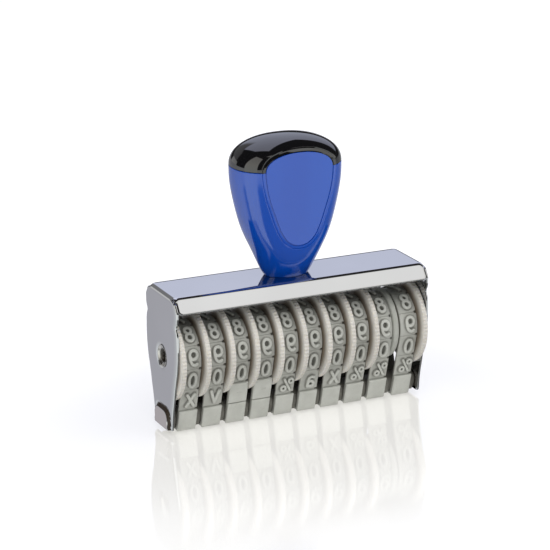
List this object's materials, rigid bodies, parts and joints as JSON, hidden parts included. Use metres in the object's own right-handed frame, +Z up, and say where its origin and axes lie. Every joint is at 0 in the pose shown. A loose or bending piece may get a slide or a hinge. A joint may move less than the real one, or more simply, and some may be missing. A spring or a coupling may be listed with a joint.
{
  "type": "numbering stamp",
  "caption": "Hand numbering stamp: chromed sheet frame holding thumbwheel-driven rubber number bands over a nose bar, with an egg-shaped two-tone handle.",
  "frame": {"origin": "in the print face, under the middle of the frame, midway front to rear", "axes": "+X along the row of bands from band 1 to band 10, +Y towards the rear, +Z up through the handle"},
  "size_m": [0.0986, 0.032, 0.1013],
  "materials": {
    "chromed_steel": "bright chrome plate on folded sheet, light orange-peel and fine handling marks",
    "bright_steel": "zinc-bright turned and drawn steel",
    "handle_blue": "glossy moulded blue plastic",
    "cap_black": "high-gloss moulded black plastic",
    "insert_brass": "knurled brass",
    "wheel_cream": "satin cream plastic with fine rim knurling",
    "band_rubber": "satin grey-green moulded rubber",
    "bar_grey": "satin grey moulded plastic"
  },
  "bodies": {
    "root": {"frame_shell": "chromed_steel", "axle": "bright_steel", "number_band_01": "band_rubber", "number_band_02": "band_rubber", "number_band_03": "band_rubber", "number_band_04": "band_rubber", "number_band_05": "band_rubber", "number_band_06": "band_rubber", "number_band_07": "band_rubber", "number_band_08": "band_rubber", "number_band_09": "band_rubber", "number_band_10": "band_rubber", "spacer_disc": "bar_grey", "nose_bar": "bar_grey", "handle_body": "handle_blue", "handle_cap": "cap_black", "handle_insert": "insert_brass", "screw_washer": "bright_steel", "handle_screw": "bright_steel"},
    "wheel_01": {"thumbwheel_01": "wheel_cream"},
    "wheel_02": {"thumbwheel_02": "wheel_cream"},
    "wheel_03": {"thumbwheel_03": "wheel_cream"},
    "wheel_04": {"thumbwheel_04": "wheel_cream"},
    "wheel_05": {"thumbwheel_05": "wheel_cream"},
    "wheel_06": {"thumbwheel_06": "wheel_cream"},
    "wheel_07": {"thumbwheel_07": "wheel_cream"},
    "wheel_08": {"thumbwheel_08": "wheel_cream"},
    "wheel_09": {"thumbwheel_09": "wheel_cream"},
    "wheel_10": {"thumbwheel_10": "wheel_cream"}
  },
  "joints": [
    {"name": "wheel_01_turn", "type": "hinge", "parent": "root", "child": "wheel_01", "pos_m": [-0.0464, 0, 0.0275], "axis": [1, 0, 0], "continuous": true},
    {"name": "wheel_02_turn", "type": "hinge", "parent": "root", "child": "wheel_02", "pos_m": [-0.0372, 0, 0.0275], "axis": [1, 0, 0], "continuous": true},
    {"name": "wheel_03_turn", "type": "hinge", "parent": "root", "child": "wheel_03", "pos_m": [-0.028, 0, 0.0275], "axis": [1, 0, 0], "continuous": true},
    {"name": "wheel_04_turn", "type": "hinge", "parent": "root", "child": "wheel_04", "pos_m": [-0.0188, 0, 0.0275], "axis": [1, 0, 0], "continuous": true},
    {"name": "wheel_05_turn", "type": "hinge", "parent": "root", "child": "wheel_05", "pos_m": [-0.0096, 0, 0.0275], "axis": [1, 0, 0], "continuous": true},
    {"name": "wheel_06_turn", "type": "hinge", "parent": "root", "child": "wheel_06", "pos_m": [-0.0004, 0, 0.0275], "axis": [1, 0, 0], "continuous": true},
    {"name": "wheel_07_turn", "type": "hinge", "parent": "root", "child": "wheel_07", "pos_m": [0.0088, 0, 0.0275], "axis": [1, 0, 0], "continuous": true},
    {"name": "wheel_08_turn", "type": "hinge", "parent": "root", "child": "wheel_08", "pos_m": [0.018, 0, 0.0275], "axis": [1, 0, 0], "continuous": true},
    {"name": "wheel_09_turn", "type": "hinge", "parent": "root", "child": "wheel_09", "pos_m": [0.0272, 0, 0.0275], "axis": [1, 0, 0], "continuous": true},
    {"name": "wheel_10_turn", "type": "hinge", "parent": "root", "child": "wheel_10", "pos_m": [0.0464, 0, 0.0275], "axis": [1, 0, 0], "continuous": true}
  ]
}
